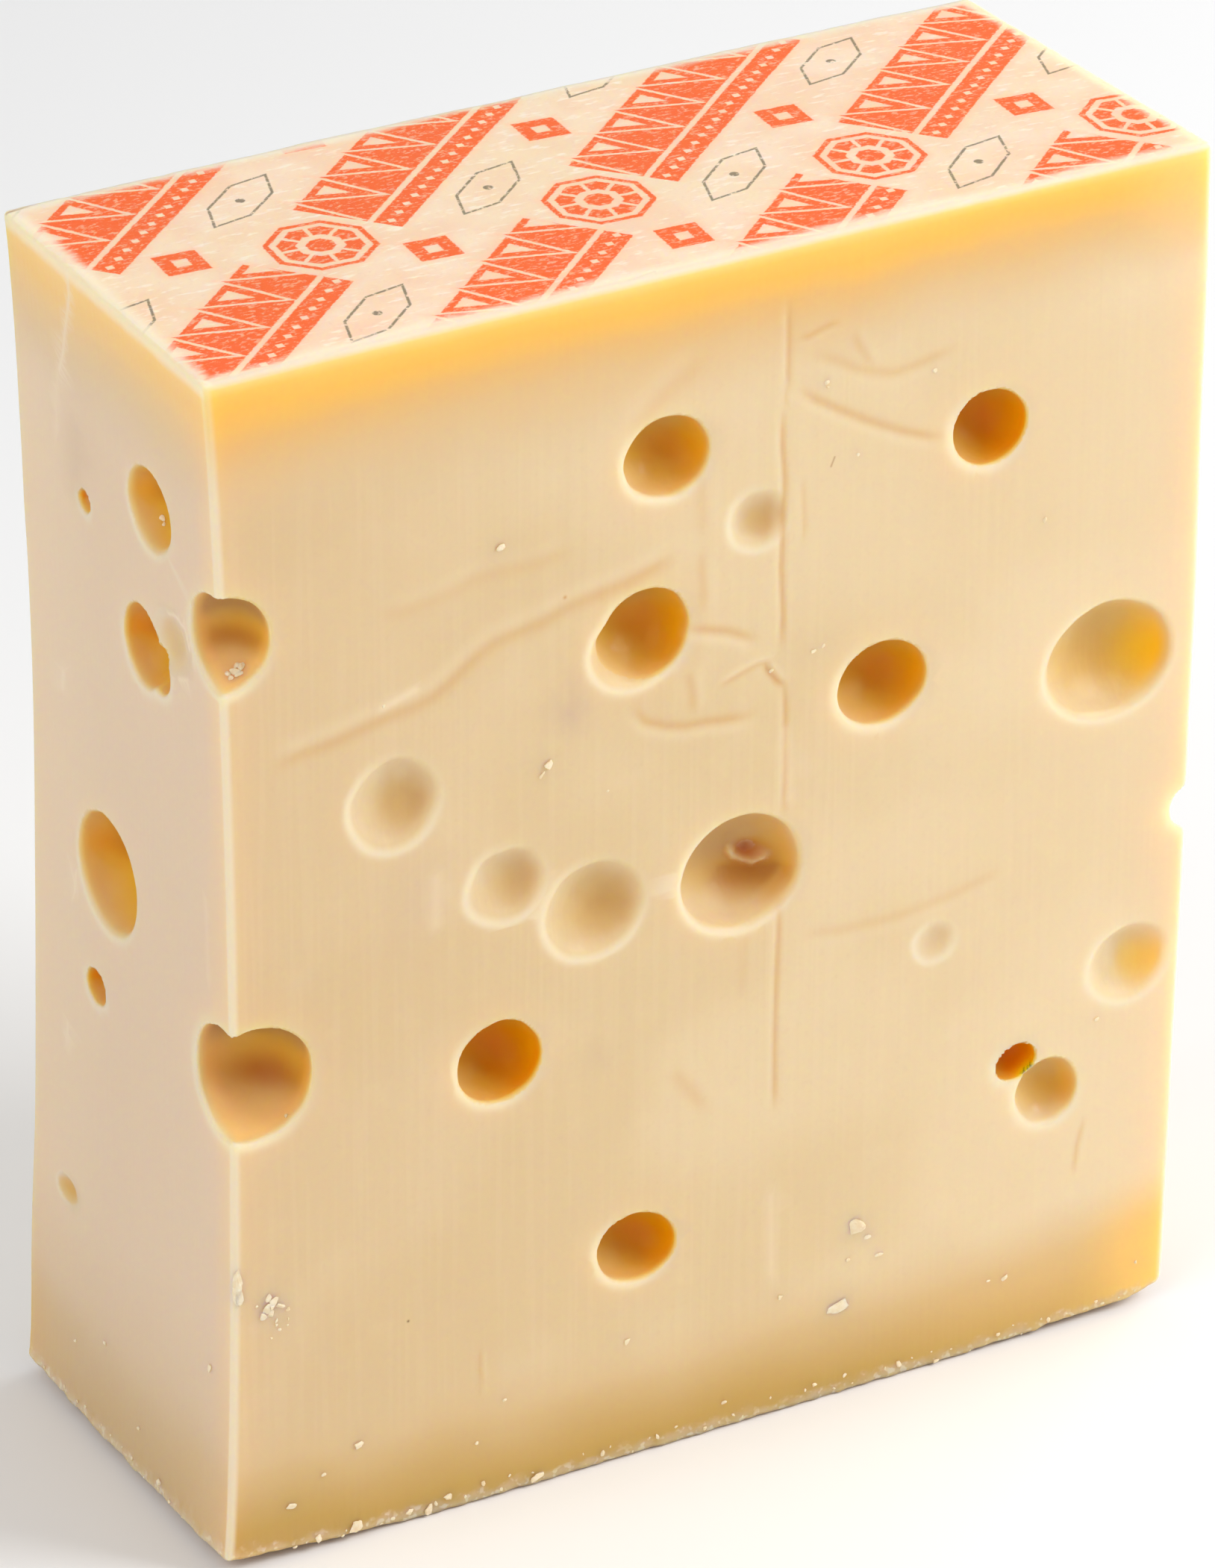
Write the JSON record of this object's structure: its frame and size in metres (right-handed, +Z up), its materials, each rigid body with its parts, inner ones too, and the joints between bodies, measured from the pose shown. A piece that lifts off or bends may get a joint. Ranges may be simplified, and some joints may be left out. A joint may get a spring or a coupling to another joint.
{
  "type": "cheese block",
  "caption": "Upright rectangular block cut from a large wheel of hard cheese, with round eyes open on its cut faces and rind on top and base.",
  "frame": {"origin": "middle of the base, on the surface the block stands on", "axes": "+Z up through the thickness of the wheel, from rind to rind; +X along the long cut face, to the right as seen from the front; the long cut face looks along -Y"},
  "size_m": [0.1717, 0.0698, 0.2039],
  "materials": {
    "paste": "satin"
  },
  "bodies": {
    "root": {"cheese_block": "paste"}
  },
  "joints": []
}
